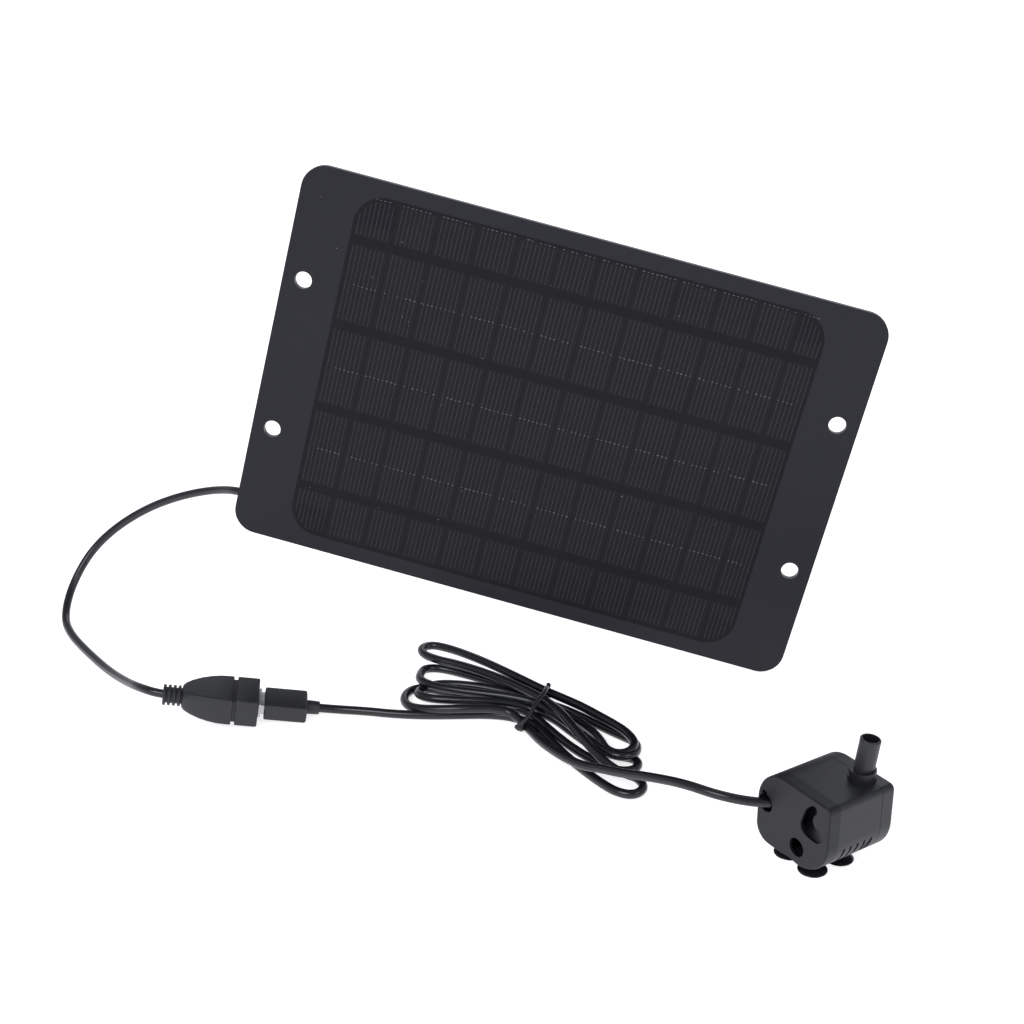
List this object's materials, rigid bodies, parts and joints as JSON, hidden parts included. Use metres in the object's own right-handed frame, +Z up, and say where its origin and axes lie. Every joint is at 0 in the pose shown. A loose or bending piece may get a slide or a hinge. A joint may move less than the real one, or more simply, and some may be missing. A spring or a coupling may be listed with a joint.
{
  "type": "solar fountain pump",
  "caption": "Solar fountain pump: a flat solar panel with a socket lead, plugged to a small submersible pump by a tied hank of cable.",
  "frame": {"origin": "middle of the pump, on the floor under it", "axes": "+Z up, +X along the panel towards its right as seen from the front, +Y away from the viewer of the panel front"},
  "size_m": [0.3923, 0.2521, 0.2334],
  "materials": {
    "casing": "satin",
    "film": "satin",
    "cell": "satin",
    "ribbon": "satin",
    "resin": "gloss",
    "board": "matte",
    "moulding": "satin",
    "cable": "gloss",
    "rubber": "matte",
    "steel": "satin",
    "contact": "gloss",
    "copper": "gloss",
    "ceramic": "gloss",
    "circuit": "satin",
    "component": "satin",
    "magnet": "matte",
    "impeller": "satin"
  },
  "bodies": {
    "panel_unit": {"front_film": "film", "solar_cells": "cell", "cell_ribbons": "ribbon", "encapsulant": "resin", "backing_board": "board", "junction_box": "casing", "junction_box_lid": "casing", "lid_screws": "steel", "regulator_board": "circuit", "regulator_inductor": "component", "regulator_capacitor": "component", "regulator_chip": "component", "blocking_diode": "component", "cable_gland": "rubber", "panel_cable": "cable", "socket_mould": "moulding", "socket_shell": "steel", "socket_tongue": "component", "socket_contacts": "contact"},
    "pump_unit": {"plug_mould": "moulding", "plug_shell": "steel", "plug_insulator": "component", "plug_contacts": "contact", "pump_cable_plug_run": "cable", "cable_hank": "cable", "cable_tie": "rubber", "pump_cable_pump_run": "cable", "pump_housing": "casing", "rear_plate": "casing", "suction_cup_1": "rubber", "suction_cup_2": "rubber", "suction_cup_3": "rubber", "suction_cup_4": "rubber", "motor_case": "casing", "stator_core": "steel", "stator_windings": "copper", "driver_board": "circuit", "potting_resin": "resin", "rotor_shaft": "ceramic", "rear_shaft_seat": "rubber", "front_shaft_seat": "rubber", "impeller_chamber": "casing", "chamber_cap": "casing", "cable_boot": "rubber"},
    "rotor": {"impeller": "impeller", "rotor_magnet": "magnet"},
    "front_cover": {"front_cover": "casing"},
    "outlet_nozzle": {"outlet_nozzle": "casing"}
  },
  "joints": [
    {"name": "plug_pull", "type": "slide", "parent": "panel_unit", "child": "pump_unit", "axis": [0.983, 0.0964, -0.1564], "range_m": [0, 0.014]},
    {"name": "impeller_spin", "type": "hinge", "parent": "pump_unit", "child": "rotor", "pos_m": [-0.0003, -0.0027, 0.0196], "axis": [0.8339, 0.5519, 0], "continuous": true},
    {"name": "cover_pull", "type": "slide", "parent": "pump_unit", "child": "front_cover", "axis": [0.8339, 0.5519, 0], "range_m": [0, 0.02]},
    {"name": "nozzle_pull", "type": "slide", "parent": "pump_unit", "child": "outlet_nozzle", "axis": [0.1167, 0, 0.9932], "range_m": [0, 0.006]}
  ]
}
